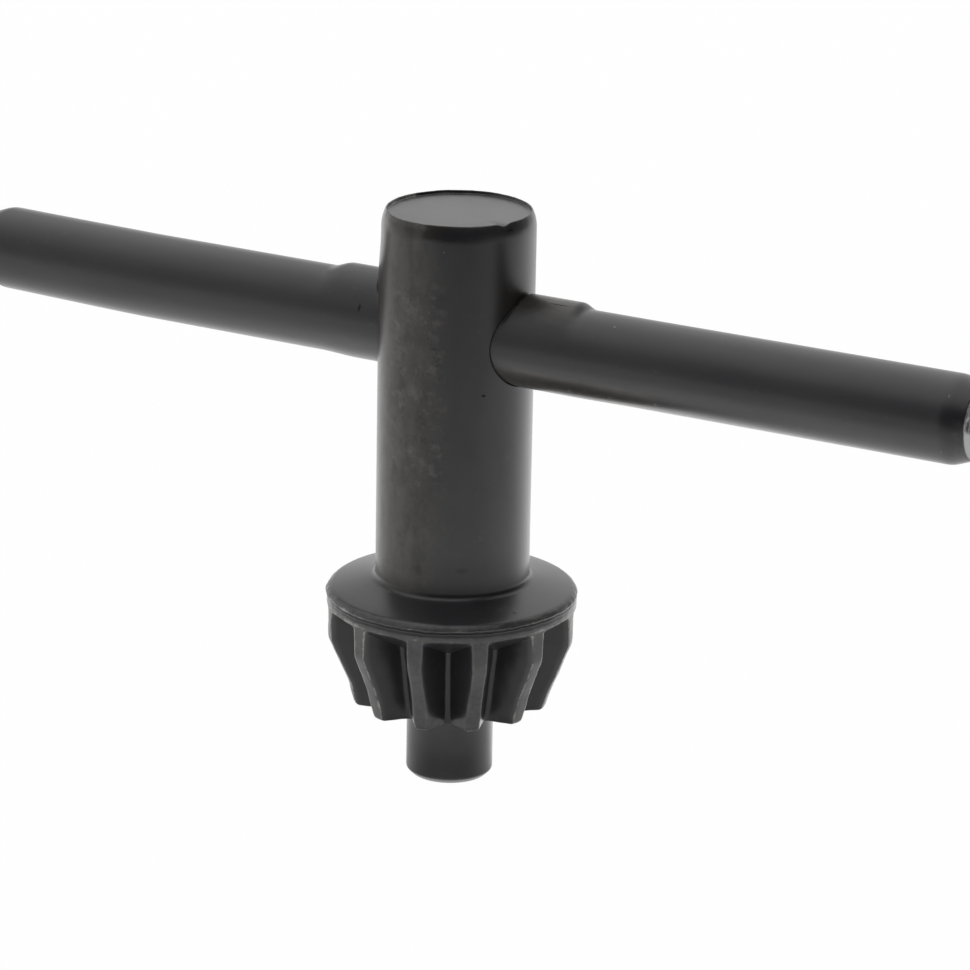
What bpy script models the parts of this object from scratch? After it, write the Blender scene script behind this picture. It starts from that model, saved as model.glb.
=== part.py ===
"""Key for a geared drill chuck: a one-piece body with bevel teeth, and a staked cross bar.

Metres, +Z up. The origin is the centre of the pilot's end face, the body's axis is Z
and the cross bar lies along X.
"""
import math

import bmesh
import bpy
from mathutils import Matrix, Vector

MM = 0.001

# Pilot, the plain spigot that centres the key in a hole of the chuck
PILOT_RADIUS = 3.0 * MM
PILOT_LENGTH = 5.35 * MM
PILOT_CHAMFER = 0.37 * MM

# Bevel teeth. The toe is the small end by the pilot, the heel the large end by the collar
TOOTH_COUNT = 12
TOOTH_PHASE = math.radians(-1.3)        # one gap lies this far round from the bar
TOE_RADIUS = 6.72 * MM
TOE_ROUNDING = 0.42 * MM
TOE_BELLY_RADIUS = 7.4 * MM             # the face cone bulges a little on its way up
TOE_BELLY_RISE = 2.25 * MM
HEEL_RADIUS = 8.6 * MM
CONE_RISE = 5.0 * MM                    # toe face to the end of the face cone
HEEL_RISE = 7.1 * MM                    # toe face to the end of the gaps
TOE_LAND = 0.86 * MM                    # width of a tooth's outer face, from toe to heel
KNEE_LAND = 0.98 * MM
BELLY_LAND = 0.86 * MM
CONE_LAND = 0.93 * MM
HEEL_LAND = 1.13 * MM
TOE_KNEE_RISE = 1.15 * MM               # height of the facet that eases the toe into mesh
ROOT_TOE_RADIUS = 5.15 * MM
ROOT_HEEL_RADIUS = 6.2 * MM
ROOT_RISE = 5.6 * MM                    # toe face to the run-out of the gap's root
ROOT_WIDTH = 0.36 * MM

# Collar between the teeth and the barrel
COLLAR_RADIUS = 8.7 * MM
COLLAR_GAP = 0.4 * MM                   # plain ring between the gaps and the collar
COLLAR_STEP = 0.1 * MM
COLLAR_HEIGHT = 0.38 * MM
SHOULDER_RADIUS = 8.41 * MM
SHOULDER_RISE = 0.37 * MM
SHOULDER_ROLL = 0.26 * MM               # setback of the rolled-over edge of the collar's top
SHOULDER_SLOPE = 0.24                   # rise of the collar's top towards the barrel
BARREL_FILLET = 0.42 * MM

# Barrel
BARREL_RADIUS = 5.29 * MM
BARREL_LENGTH = 26.74 * MM              # shoulder edge to the top rim
RIM_CURVE = 2.77 * MM                   # radius of the inward curve below the top rim
RIM_TURN = math.radians(28)
DISH_WALL_WIDTH = 0.12 * MM             # steep wall of the shallow dish in the top
DISH_DEPTH = 0.27 * MM
DISH_ROUNDING = 0.2 * MM                # setback of the rounding at the foot of that wall

# Cross bar
BAR_RADIUS = 2.98 * MM
BAR_LENGTH = 76.8 * MM
BAR_CHAMFER = 1.3 * MM
BAR_CHAMFER_INSET = 0.49 * MM
BAR_DROP = 8.52 * MM                    # top rim down to the bar's axis
BAR_CLEARANCE = 0.3 * MM
STAKE_START = 0.05 * MM                 # barrel to the foot of the staked swells
STAKE_RAMP = 0.35 * MM
RIGHT_STAKE_LENGTH = 5.05 * MM          # swell on the side of +X
RIGHT_STAKE_TAIL = 0.65 * MM
RIGHT_STAKE_TOP = 0.3 * MM
LEFT_STAKE_LENGTH = 4.65 * MM           # swell on the side of -X
LEFT_STAKE_TAIL = 1.0 * MM
LEFT_STAKE_TOP = 0.38 * MM
STAKE_BOTTOM = 0.08 * MM
STAKE_SPREAD = math.radians(62)

# Facets
BODY_SEGMENTS = 72
BAR_SEGMENTS = 40
HOLE_SEGMENTS = 40
ARC_STEPS = 5
ROLL_STEPS = 3
SHARP_ANGLE = math.radians(24)
CUT_MARGIN = 0.6 * MM

# Heights along the axis
TOE_Z = PILOT_LENGTH
HEEL_Z = TOE_Z + HEEL_RISE
COLLAR_Z = HEEL_Z + COLLAR_GAP
EDGE_Z = COLLAR_Z + COLLAR_STEP + COLLAR_HEIGHT
SHOULDER_Z = EDGE_Z + SHOULDER_RISE
NECK_Z = SHOULDER_Z + SHOULDER_SLOPE * (SHOULDER_RADIUS - BARREL_RADIUS)
TOP_Z = SHOULDER_Z + BARREL_LENGTH
BAR_Z = TOP_Z - BAR_DROP


def clear_scene():
    for obj in list(bpy.data.objects):
        bpy.data.objects.remove(obj, do_unlink=True)


def steel(name, colour, roughness):
    material = bpy.data.materials.new(name)
    material.use_nodes = True
    shader = material.node_tree.nodes["Principled BSDF"]
    shader.inputs["Base Color"].default_value = (*colour, 1.0)
    shader.inputs["Metallic"].default_value = 0.35
    shader.inputs["Roughness"].default_value = roughness
    return material


def new_object(name, mesh_builder, material=None):
    """Turn a bmesh into a named object in the scene."""
    mesh = bpy.data.meshes.new(name)
    bmesh.ops.recalc_face_normals(mesh_builder, faces=mesh_builder.faces)
    mesh_builder.to_mesh(mesh)
    mesh_builder.free()
    mesh.shade_smooth()
    mesh.set_sharp_from_angle(angle=SHARP_ANGLE)
    if material:
        mesh.materials.append(material)
    obj = bpy.data.objects.new(name, mesh)
    bpy.context.collection.objects.link(obj)
    return obj


def arc(centre, radii, start, end, steps=ARC_STEPS):
    """Points (radius, height) along an arc or ellipse, both ends included."""
    points = []
    for step in range(steps + 1):
        angle = math.radians(start + (end - start) * step / steps)
        r = centre[0] + radii[0] * math.cos(angle)
        z = centre[1] + radii[1] * math.sin(angle)
        points.append((r, z))
    return points


def toe_corner():
    """Rounded corner between the flat toe face and the first stretch of the face cone."""
    rise = TOE_BELLY_RISE
    lean = math.degrees(math.atan2(TOE_BELLY_RADIUS - TOE_RADIUS, rise))
    setback = TOE_ROUNDING * math.tan(math.radians(45 - lean / 2))
    centre = (TOE_RADIUS - setback, TOE_Z + TOE_ROUNDING)
    return arc(centre, (TOE_ROUNDING, TOE_ROUNDING), -90, -lean)


def eased(before, corner, after, setback):
    """Points of a short curve that replaces the corner between two straight stretches."""
    corner = Vector(corner)
    towards = (Vector(before) - corner).normalized() * setback
    away = (Vector(after) - corner).normalized() * setback
    points = []
    for step in range(ROLL_STEPS + 1):
        share = step / ROLL_STEPS
        points.append(tuple(corner + towards * (1 - share) ** 2 + away * share ** 2))
    return points


def barrel_fillet():
    """Hollow corner between the collar's sloping top and the barrel."""
    centre_r = BARREL_RADIUS + BARREL_FILLET
    slope_length = math.hypot(1, SHOULDER_SLOPE)
    line_z = SHOULDER_Z + SHOULDER_SLOPE * (SHOULDER_RADIUS - centre_r)
    centre = (centre_r, line_z + BARREL_FILLET * slope_length)
    start = -90 - math.degrees(math.atan(SHOULDER_SLOPE))
    return arc(centre, (BARREL_FILLET, BARREL_FILLET), start, -180)


def body_profile():
    """Half section of the body before its gaps are cut, from the pilot's end to the dish."""
    rim_centre = (BARREL_RADIUS - RIM_CURVE, TOP_Z - RIM_CURVE * math.sin(RIM_TURN))
    rim_radius = rim_centre[0] + RIM_CURVE * math.cos(RIM_TURN)
    dish_floor_z = TOP_Z - DISH_DEPTH
    dish_foot = (rim_radius - DISH_WALL_WIDTH, dish_floor_z)
    collar_edge = (COLLAR_RADIUS, EDGE_Z)
    shoulder = (SHOULDER_RADIUS, SHOULDER_Z)
    profile = [
        (0, 0),
        (PILOT_RADIUS - PILOT_CHAMFER, 0),
        (PILOT_RADIUS, PILOT_CHAMFER),
        (PILOT_RADIUS, TOE_Z),
    ]
    profile += toe_corner()
    profile += [
        (TOE_BELLY_RADIUS, TOE_Z + TOE_BELLY_RISE),
        (HEEL_RADIUS, TOE_Z + CONE_RISE),
        (HEEL_RADIUS, COLLAR_Z),
        (COLLAR_RADIUS, COLLAR_Z + COLLAR_STEP),
        collar_edge,
    ]
    profile += eased(collar_edge, shoulder, (BARREL_RADIUS, NECK_Z), SHOULDER_ROLL)
    profile += barrel_fillet()
    profile += arc(rim_centre, (RIM_CURVE, RIM_CURVE), 0, math.degrees(RIM_TURN))
    profile += eased((rim_radius, TOP_Z), dish_foot, (0, dish_floor_z), DISH_ROUNDING)
    profile.append((0, dish_floor_z))
    return profile


def revolve(profile, segments, phase=0.0):
    """Turn a half section round the Z axis into a closed mesh."""
    builder = bmesh.new()
    start = Vector((math.cos(phase), math.sin(phase), 0))
    verts = [builder.verts.new(start * r + Vector((0, 0, z))) for r, z in profile]
    edges = [builder.edges.new(pair) for pair in zip(verts, verts[1:])]
    bmesh.ops.spin(builder, geom=verts + edges, cent=(0, 0, 0), axis=(0, 0, 1),
                   angle=2 * math.pi, steps=segments, use_merge=True)
    bmesh.ops.remove_doubles(builder, verts=builder.verts, dist=0.001 * MM)
    return builder


def gap_section(z, land_radius, land_width, root_radius):
    """Root corner and outer corner of a gap at one height, on its +Y side.

    The flank runs from the root's corner through the edge of the tooth's land.
    """
    half_pitch = math.pi / TOOTH_COUNT
    land_angle = half_pitch - math.asin(land_width / 2 / land_radius)
    land = Vector((land_radius * math.cos(land_angle), land_radius * math.sin(land_angle), z))
    root = Vector((root_radius, ROOT_WIDTH / 2, z))
    reach = (COLLAR_RADIUS + CUT_MARGIN - root.x) / (land.x - root.x)
    return root, root + (land - root) * reach


def root_radius_at(rise):
    return ROOT_TOE_RADIUS + (ROOT_HEEL_RADIUS - ROOT_TOE_RADIUS) * rise / ROOT_RISE


def face_radius_at(rise):
    """Radius of the teeth's outer face at a height above the toe face."""
    if rise < TOE_BELLY_RISE:
        share = rise / TOE_BELLY_RISE
        return TOE_RADIUS + (TOE_BELLY_RADIUS - TOE_RADIUS) * share
    share = min(1.0, (rise - TOE_BELLY_RISE) / (CONE_RISE - TOE_BELLY_RISE))
    return TOE_BELLY_RADIUS + (HEEL_RADIUS - TOE_BELLY_RADIUS) * share


def gap_side():
    """Root and outer corners of one flank, from below the toe to the run-out."""
    stations = [
        (0.0, TOE_LAND),
        (TOE_KNEE_RISE, KNEE_LAND),
        ((TOE_BELLY_RISE + CONE_RISE) / 2, BELLY_LAND),
        (CONE_RISE, CONE_LAND),
    ]
    corners = []
    for rise, land in stations:
        corners.append(gap_section(TOE_Z + rise, face_radius_at(rise), land,
                                   root_radius_at(rise)))
    below = Vector((0, 0, -CUT_MARGIN))
    corners.insert(0, (corners[0][0] + below, corners[0][1] + below))
    run_out_root = Vector((ROOT_HEEL_RADIUS, ROOT_WIDTH / 2, TOE_Z + ROOT_RISE))
    land_angle = math.pi / TOOTH_COUNT - math.asin(HEEL_LAND / 2 / HEEL_RADIUS)
    heel = Vector((HEEL_RADIUS * math.cos(land_angle), HEEL_RADIUS * math.sin(land_angle), HEEL_Z))
    reach = (COLLAR_RADIUS + CUT_MARGIN - run_out_root.x) / (heel.x - run_out_root.x)
    corners.append((run_out_root, run_out_root + (heel - run_out_root) * reach))
    return corners


def add_gap(builder, angle):
    """Add one closed gap volume, turned to its place round the axis."""
    turn = Matrix.Rotation(angle, 3, 'Z')
    rings = []
    for root, outer in gap_side():
        far_outer = Vector((outer.x, -outer.y, outer.z))
        far_root = Vector((root.x, -root.y, root.z))
        corners = (root, outer, far_outer, far_root)
        rings.append([builder.verts.new(turn @ corner) for corner in corners])
    for low, high in zip(rings, rings[1:]):
        # each flank folds along the line from its lower root to its upper outer corner
        builder.faces.new((low[0], high[1], high[0]))
        builder.faces.new((low[0], low[1], high[1]))
        builder.faces.new((low[3], high[3], high[2]))
        builder.faces.new((low[3], high[2], low[2]))
        builder.faces.new((low[1], low[2], high[2], high[1]))
        builder.faces.new((low[0], high[0], high[3], low[3]))
    builder.faces.new(rings[0])
    builder.faces.new(reversed(rings[-1]))


def cut(body, cutter):
    """Subtract a hidden cutter from the body."""
    cutter.hide_render = True
    cutter.display_type = 'WIRE'
    modifier = body.modifiers.new(cutter.name, 'BOOLEAN')
    modifier.operation = 'DIFFERENCE'
    modifier.solver = 'EXACT'
    modifier.object = cutter


def make_body(material):
    body = new_object("key_body", revolve(body_profile(), BODY_SEGMENTS, TOOTH_PHASE), material)
    gaps = bmesh.new()
    for index in range(TOOTH_COUNT):
        add_gap(gaps, TOOTH_PHASE + index * 2 * math.pi / TOOTH_COUNT)
    cut(body, new_object("tooth_gaps", gaps))

    hole = bmesh.new()
    bmesh.ops.create_cone(hole, cap_ends=True, segments=HOLE_SEGMENTS,
                          radius1=BAR_RADIUS + BAR_CLEARANCE, radius2=BAR_RADIUS + BAR_CLEARANCE,
                          depth=2 * (BARREL_RADIUS + CUT_MARGIN))
    hole_cutter = new_object("bar_hole", hole)
    hole_cutter.location = (0, 0, BAR_Z)
    hole_cutter.rotation_euler = (0, math.pi / 2, 0)
    cut(body, hole_cutter)
    return body


def swell(angle, x):
    """How far the staking has raised the bar's surface; angle 0 is the top of the bar."""
    if x > 0:
        length, tail, height = RIGHT_STAKE_LENGTH, RIGHT_STAKE_TAIL, RIGHT_STAKE_TOP
    else:
        length, tail, height = LEFT_STAKE_LENGTH, LEFT_STAKE_TAIL, LEFT_STAKE_TOP
    from_foot = abs(x) - BARREL_RADIUS - STAKE_START
    along = max(0.0, min(1.0, from_foot / STAKE_RAMP, (length - from_foot) / tail))
    off_top = min(1.0, abs(angle) / STAKE_SPREAD)
    off_bottom = min(1.0, (math.pi - abs(angle)) / STAKE_SPREAD)
    top = height * (0.5 + 0.5 * math.cos(math.pi * off_top))
    bottom = STAKE_BOTTOM * (0.5 + 0.5 * math.cos(math.pi * off_bottom))
    return along * (top + bottom)


def bar_side(stake_length, stake_tail):
    """Stations (distance from the middle, radius) from the barrel to one end of the bar."""
    end = BAR_LENGTH / 2
    foot = BARREL_RADIUS + STAKE_START
    return [
        (foot, BAR_RADIUS),
        (foot + STAKE_RAMP, BAR_RADIUS),
        (foot + stake_length - stake_tail, BAR_RADIUS),
        (foot + stake_length, BAR_RADIUS),
        (end - BAR_CHAMFER, BAR_RADIUS),
        (end, BAR_RADIUS - BAR_CHAMFER_INSET),
    ]


def make_bar(material):
    left = bar_side(LEFT_STAKE_LENGTH, LEFT_STAKE_TAIL)
    right = bar_side(RIGHT_STAKE_LENGTH, RIGHT_STAKE_TAIL)
    stations = [(-x, r) for x, r in reversed(left)] + right
    builder = bmesh.new()
    rings = []
    for x, radius in stations:
        ring = []
        for segment in range(BAR_SEGMENTS):
            angle = math.pi * (2 * segment / BAR_SEGMENTS - 1)
            r = radius + swell(angle, x)
            point = (x, r * math.sin(angle), BAR_Z + r * math.cos(angle))
            ring.append(builder.verts.new(point))
        rings.append(ring)
    for low, high in zip(rings, rings[1:]):
        for index in range(BAR_SEGMENTS):
            after = (index + 1) % BAR_SEGMENTS
            builder.faces.new((low[index], low[after], high[after], high[index]))
    builder.faces.new(rings[0])
    builder.faces.new(rings[-1])
    return new_object("cross_bar", builder, material)


clear_scene()
make_body(steel("body_steel", (0.035, 0.034, 0.033), 0.42))
make_bar(steel("bar_steel", (0.033, 0.033, 0.035), 0.36))
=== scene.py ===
"""Looks of the drill chuck key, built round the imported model.

Lengths are in millimetres until a mesh is made, and every mesh is in metres. The body's
axis is Z, the cross bar lies along X and the pilot's end face is at height 0.
"""
import math

import bpy
import numpy as np
from mathutils import Matrix, Vector, noise


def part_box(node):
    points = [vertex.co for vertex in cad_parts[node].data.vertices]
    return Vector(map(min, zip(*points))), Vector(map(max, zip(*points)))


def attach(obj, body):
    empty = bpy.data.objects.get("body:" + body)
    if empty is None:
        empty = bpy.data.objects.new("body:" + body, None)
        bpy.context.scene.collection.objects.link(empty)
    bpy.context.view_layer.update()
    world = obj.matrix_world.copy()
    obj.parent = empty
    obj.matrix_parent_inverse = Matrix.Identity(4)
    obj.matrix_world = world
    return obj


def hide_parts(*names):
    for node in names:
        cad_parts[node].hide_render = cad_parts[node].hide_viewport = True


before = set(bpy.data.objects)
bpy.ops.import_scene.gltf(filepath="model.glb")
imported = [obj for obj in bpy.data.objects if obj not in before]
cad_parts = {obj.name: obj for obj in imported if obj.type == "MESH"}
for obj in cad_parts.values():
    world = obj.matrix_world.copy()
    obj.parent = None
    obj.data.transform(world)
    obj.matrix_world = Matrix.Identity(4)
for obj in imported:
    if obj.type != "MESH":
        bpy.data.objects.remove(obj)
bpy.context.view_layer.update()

MM = 0.001
NOISE_SEED = 3
noise.seed_set(NOISE_SEED)        # else the clock sets it, and each run would differ


def size_of(node):
    """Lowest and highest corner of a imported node, in millimetres."""
    low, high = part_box(node)
    return low / MM, high / MM


BODY_LOW, BODY_HIGH = size_of("key_body")
BAR_HIGH = size_of("cross_bar")[1]

# Camera, fitted to the photograph
CAMERA_PLACE = Vector((138.187, -235.387, 110.645))
CAMERA_YAW = math.radians(29.967)
CAMERA_PITCH = math.radians(-18.197)
CAMERA_ROLL = math.radians(1.081)
CAMERA_LENS = 156.157
CAMERA_AZIMUTH = math.atan2(CAMERA_PLACE.y, CAMERA_PLACE.x)

# Pilot
PILOT_RADIUS = 3.0
PILOT_LENGTH = 5.35
PILOT_CHAMFER = 0.37

# Bevel teeth; a rise is a height above the toe face
TOOTH_COUNT = 12
TOOTH_PHASE = math.radians(-1.3)
HALF_PITCH = math.pi / TOOTH_COUNT
TOE_RADIUS = 6.72
TOE_ROUNDING = 0.42
BELLY_RADIUS = 7.4
BELLY_RISE = 2.25
FACE_LEAN = math.atan2(BELLY_RADIUS - TOE_RADIUS, BELLY_RISE)  # of the face below the belly
HEEL_RADIUS = 8.6
CONE_RISE = 5.0
HEEL_RISE = 7.1
KNEE_RISE = 1.15
KINK_BLEND = 0.22                 # half the length over which the face cone turns at a kink
LAND_RISES = (0.0, KNEE_RISE, 3.6, CONE_RISE, HEEL_RISE)
LAND_WIDTHS = (0.86, 0.98, 0.86, 0.93, 1.13)
ROOT_TOE_RADIUS = 5.15
ROOT_HEEL_RADIUS = 6.2
ROOT_RISE = 5.6
ROOT_WIDTH = 0.36
ROOT_BLEND = 0.13                 # setback of the rounding at a gap's two root corners
LAND_BLEND = 0.15                 # setback of the worn rounding along a tooth's land
FLANK_EDGE = 0.14                 # rounding between a flank and the toe face

# Collar
RAGGEDNESS = 0.045                # how far the worn edges wander
COLLAR_RADIUS = min(BODY_HIGH.x, -BODY_LOW.x, BODY_HIGH.y, -BODY_LOW.y) - RAGGEDNESS
COLLAR_BURR = 0.05                # how far the collar's upper edge stands out from its side
COLLAR_GAP = 0.4
COLLAR_STEP = 0.1
COLLAR_HEIGHT = 0.38
SHOULDER_RADIUS = 8.41
SHOULDER_RISE = 0.37
SHOULDER_ROLL = 0.26              # setback of the rolled-over edge of the collar's top
SHOULDER_SLOPE = 0.24
BARREL_FILLET = 0.42

# Barrel
BARREL_RADIUS = 5.29
RIM_CURVE = 2.77                  # radius of the inward curve below the top rim
RIM_TURN = math.radians(28)
RIM_LIP = 0.26                    # setback of the worn rounding of the rim's edge
RIM_CORNER = Vector((-0.04, 0.075))  # keeps the rounded edge's crest at the nominal height
DISH_WALL_WIDTH = 0.12            # steep wall of the shallow dish in the top
DISH_WALL_HEIGHT = 0.27
RIM_INNER_RADIUS = 4.8            # where the rim begins, seen from the axis

# Cross bar
BAR_RADIUS = 2.945
BAR_DROP = 8.52
BAR_CHAMFER = 1.3
BAR_CHAMFER_INSET = 0.49
BAR_CORNER_BLEND = 0.38           # setback of the rounding where the chamfer starts
BAR_LIP_BLEND = 0.12              # setback of the rounding round an end face
BAR_BOW = (                       # distance along the bar and how far it is bent up there
    (-38.4, 0.21), (-34, 0.125), (-30, 0.05), (-25, -0.025), (-12, -0.032), (15, -0.035),
    (25, 0.0), (38.4, 0.045),
)
LEFT_END_TAPER = 0.04
HOLE_CLEARANCE = 0.07
HOLE_DROP = 0.055                 # how far the hole's axis lies below the bar's
SHEAR_LINE = 0.1                  # height above the bar's axis from which an end face is torn
TEAR_DEPTH = 0.12
TEAR_ROUGHNESS = 0.09

# Swells that the staking raised beside the barrel, as height and the two distances along the bar
# between which they fall away
RIGHT_SWELL = (0.43, 9.35, 10.12)
RIGHT_LOWER_SWELL = (0.07, 9.0, 15.0)
LEFT_SWELL = (0.43, 8.35, 10.1)
LEFT_LOWER_SWELL = (0.14, 7.2, 10.2)
SWELL_SPREAD = math.radians(62)
SWELL_SLACK = 0.9                 # the right swell falls away more slowly down its side
SWELL_IN_HOLE = 0.13              # share of the swell that is left inside the hole's mouth
SWELL_ZONE = (4.2, 11.0)          # stretch of the bar that has fine steps

# Heights along the axis
TOP_Z = BODY_HIGH.z
TOE_Z = PILOT_LENGTH
HEEL_Z = TOE_Z + HEEL_RISE
COLLAR_Z = HEEL_Z + COLLAR_GAP
STEP_Z = COLLAR_Z + COLLAR_STEP
EDGE_Z = STEP_Z + COLLAR_HEIGHT
SHOULDER_Z = EDGE_Z + SHOULDER_RISE
BARREL_FOOT_Z = SHOULDER_Z + SHOULDER_SLOPE * (SHOULDER_RADIUS - BARREL_RADIUS)
BAR_Z = TOP_Z - BAR_DROP
HOLE_Z = BAR_Z - HOLE_DROP

# Wear and marks
COLLAR_WEAR = (                   # height and share of wear, up the collar's side
    (HEEL_Z - 0.35, 0.0), (HEEL_Z - 0.05, 0.5), (HEEL_Z + 0.12, 1.0), (COLLAR_Z - 0.08, 0.8),
    (COLLAR_Z, 0.2), (COLLAR_Z + 0.06, 0.0), (EDGE_Z - 0.08, 0.0), (EDGE_Z, 1.05),
    (EDGE_Z + 0.08, 0.6), (SHOULDER_Z - 0.1, 0.55), (SHOULDER_Z + 0.02, 0.4),
    (SHOULDER_Z + 0.08, 0.0),
)
GROOVE_SHADE = (                  # height and share of painted shade in the grooves of the collar's side
    (COLLAR_Z - 0.02, 0.0), (COLLAR_Z + 0.04, 0.8), (STEP_Z + 0.08, 1.0), (STEP_Z + 0.15, 0.45),
    (EDGE_Z - 0.19, 0.45), (EDGE_Z - 0.14, 1.0), (EDGE_Z - 0.06, 1.0), (EDGE_Z - 0.02, 0.0),
)
FOOT_SHADE = (                    # height above the barrel's foot and share of painted shade
    (-0.15, 0.2), (0.3, 0.45), (0.8, 0.3), (1.5, 0.26), (3.1, 0.0),
)
# painted shade that dims the reflection in the gaps between the teeth
GAP_SHADE = 0.65
WALL_SHADE = 0.55                 # painted shade: a dark reflection on the back of the dish's wall
SPOT_SHADE = 0.6                  # painted shade on the barrel beside the bar
STAIN_PATINA = 0.6                # on the barrel above the bar
LEFT_BAR_PATINA = 0.3             # on the bar's left part, as a share of its right part's
LEFT_RIM_WEAR = 0.15              # how far the rim's left has been worn inwards
LEFT_BURR = 0.06                  # how far the collar's edge stands out at the left
RIGHT_TOOTH_BULGE = 0.12
LEFT_TOOTH_DIP = 0.07
RIM_CHIP_SIZE = Vector((0.42, 0.36, 0.5))
RIM_CHIP_DEPTH = 0.16


def on_barrel(azimuth, z, radius=BARREL_RADIUS):
    """Point of the body's surface; azimuth in degrees from the X axis."""
    turn = math.radians(azimuth)
    return Vector((radius * math.cos(turn), radius * math.sin(turn), z))


def on_bar(x, angle, raised=0.0):
    """Point of the bar's surface; angle in degrees from its top, negative towards the front."""
    turn = math.radians(angle)
    radius = BAR_RADIUS + raised
    return Vector((x, radius * math.sin(turn), BAR_Z + radius * math.cos(turn)))


RIM_CHIP_PLACE = on_barrel(-21.7, TOP_Z, 4.97)
STAIN_PLACE = on_barrel(-14, 35.1)
STAIN_SIZE = 1.5
SPOT_PLACE = on_barrel(-5, 35.3)
SPOT_SIZE = 1.0
BODY_MARKS = (                    # place, half sizes and strength, below zero for a dark mark; one on the bar is painted shade
    (on_barrel(-69.3, 38.67), (0.07, 0.07, 0.07), 0.8),
    (on_barrel(-82.2, 33.75), (0.08, 0.08, 0.08), 0.8),
    (on_barrel(-79.5, 34.5), (0.05, 0.05, 0.11), 0.5),
    (on_barrel(-88.6, 35.25), (0.06, 0.06, 0.35), 0.3),
    (on_barrel(-92.3, 32.1), (0.06, 0.06, 0.3), 0.35),
    (on_barrel(-89.4, 30.3), (0.07, 0.07, 0.3), 0.4),
    (on_barrel(-85.1, 28.9), (0.08, 0.08, 0.22), 0.4),
    (on_barrel(-86.2, 25.6), (0.06, 0.06, 0.4), 0.35),
    (on_barrel(-82.5, 27.7), (0.1, 0.1, 0.12), 0.35),
    (on_barrel(-12.5, 39.0, 5.22), (0.06, 0.06, 0.7), 0.25),
    (on_barrel(-75.5, 32.0), (0.22, 0.22, 0.08), -0.35),
    (on_barrel(-80.2, 32.7), (0.12, 0.12, 0.2), -0.4),
    (on_barrel(-73.1, 30.9), (0.16, 0.16, 0.08), -0.35),
    (on_barrel(-85.6, 16.4), (0.35, 0.35, 0.4), -0.22),
    (on_barrel(-52.5, 16.5), (0.5, 0.5, 0.25), -0.2),
    (on_barrel(-38.6, 28.78), (0.17, 0.17, 0.1), -1.0),
    (on_barrel(-17, 39.9, 5.1), (0.3, 0.3, 0.07), -0.7),
    (on_barrel(-25.3, 13.91, 7.52), (0.2, 0.12, 0.1), -0.7),
    (on_barrel(-24.5, TOP_Z - 0.08, 4.97), (0.2, 0.2, 0.1), 1.0),
)
BAR_MARKS_AND_SHADE = (
    (on_bar(-6.05, -66), (0.12, 0.3, 0.3), -0.7),
    (on_bar(8.3, -13, 0.36), (0.95, 0.09, 0.12), -0.7),
    (on_bar(7.2, -5, 0.4), (0.5, 0.08, 0.2), -0.5),
    # Painted shade on the bar's top beside the barrel, where the barrel shades it
    (on_bar(5.9, -14, 0.3), (1.5, 1.7, 0.8), -0.4),
    (on_bar(12.84, -28), (0.13, 0.09, 0.12), 0.9),
    (on_bar(37.12, -43.6), (0.06, 0.14, 0.14), 1.0),
    (on_bar(36.98, -120.4), (0.06, 0.1, 0.16), 1.0),
    (on_bar(10.0, -135), (0.1, 0.22, 0.22), 1.0),
    (on_bar(13.07, -133.6), (0.22, 0.1, 0.1), 1.0),
    (on_bar(16.5, -130), (0.1, 0.18, 0.18), 1.0),
)

# Finish: colours, the grain's share along each axis, and the surface's own values
BODY_BLACK = (0.0280, 0.0272, 0.0305)
BODY_PATINA = (0.0460, 0.0395, 0.0300)
BAR_BLACK = (0.0280, 0.0275, 0.0315)
# The bar's brownish patina, which on its underside is also painted light from the floor
BAR_PATINA_AND_LIGHT = (0.058, 0.052, 0.045)
BODY_GRAIN = (1, 1, 0.55)         # below 1 the pattern is drawn out along that axis
BAR_GRAIN = (0.3, 1, 1)
FLECK_COLOUR = (0.112, 0.107, 0.095)
WORN_COLOUR = (0.092, 0.090, 0.086)
LIGHT_MARK_COLOUR = (0.16, 0.155, 0.145)
# Bare steel where the blacking has flaked, made bright enough to be a painted glint as well
FLAKED_GLINT_COLOUR = (0.46, 0.45, 0.43)
DARK_MARK_AND_SHADE_COLOUR = (0.005, 0.005, 0.005)
SHEARED_COLOUR = (0.42, 0.42, 0.43)
TORN_COLOUR = (0.27, 0.27, 0.27)
TORN_DARK_COLOUR = (0.07, 0.07, 0.07)
FINISH_IOR = 1.65
BUMP_STRENGTH = 0.1
BUMP_DEPTH = 0.02

# Floor and surroundings
FLOOR_HALF_SIZE = 2000
FLOOR_WHITE_SHARE = 0.985         # how far the floor looks plain white instead of lit cloth
WORLD_LIGHT = 0.8

# Light tent and floor as reflections see them: azimuth from the camera, elevation or distance,
# and brightness
TENT_RADIUS = 900.0
ZENITH_GLOW = 1.05
TENT_GLOW = ((-180, 1.25), (-130, 0.95), (-100, 0.62), (-80, 0.5), (-66, 0.48), (-57, 0.42),
             (-51, 0.34), (-46, 0.06), (-40, 0.02), (80, 0.02), (100, 0.06), (120, 0.25),
             (126, 0.4), (137, 0.85), (152, 1.15), (180, 1.25))
TENT_RISE = ((38, 0.0), (50, 0.42), (60, 0.68), (70, 0.84), (80, 0.95), (90, 1.0))
FLOOR_FRONT = ((45, 0.8), (65, 0.64), (90, 0.6), (130, 0.56), (146, 0.4), (157, 0.34),
               (220, 0.2), (300, 0.1), (400, 0.03), (900, 0.01))
FLOOR_LEFT = ((0, 0.5), (45, 0.66), (80, 0.78), (105, 0.88), (121, 1.05), (143, 1.42), (180, 1.5))
FLOOR_RIGHT = ((0, 0.5), (35, 0.7), (64, 0.85), (87, 1.0), (100, 1.15), (115, 1.5), (134, 1.85),
               (180, 1.6))
DIM_BAND = (0.17, 18, 12)         # share taken off the tent, at which elevation, and its spread
DIM_CORNER = (0.55, -150, 32)     # the same with an azimuth, for the corner at the left back
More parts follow.
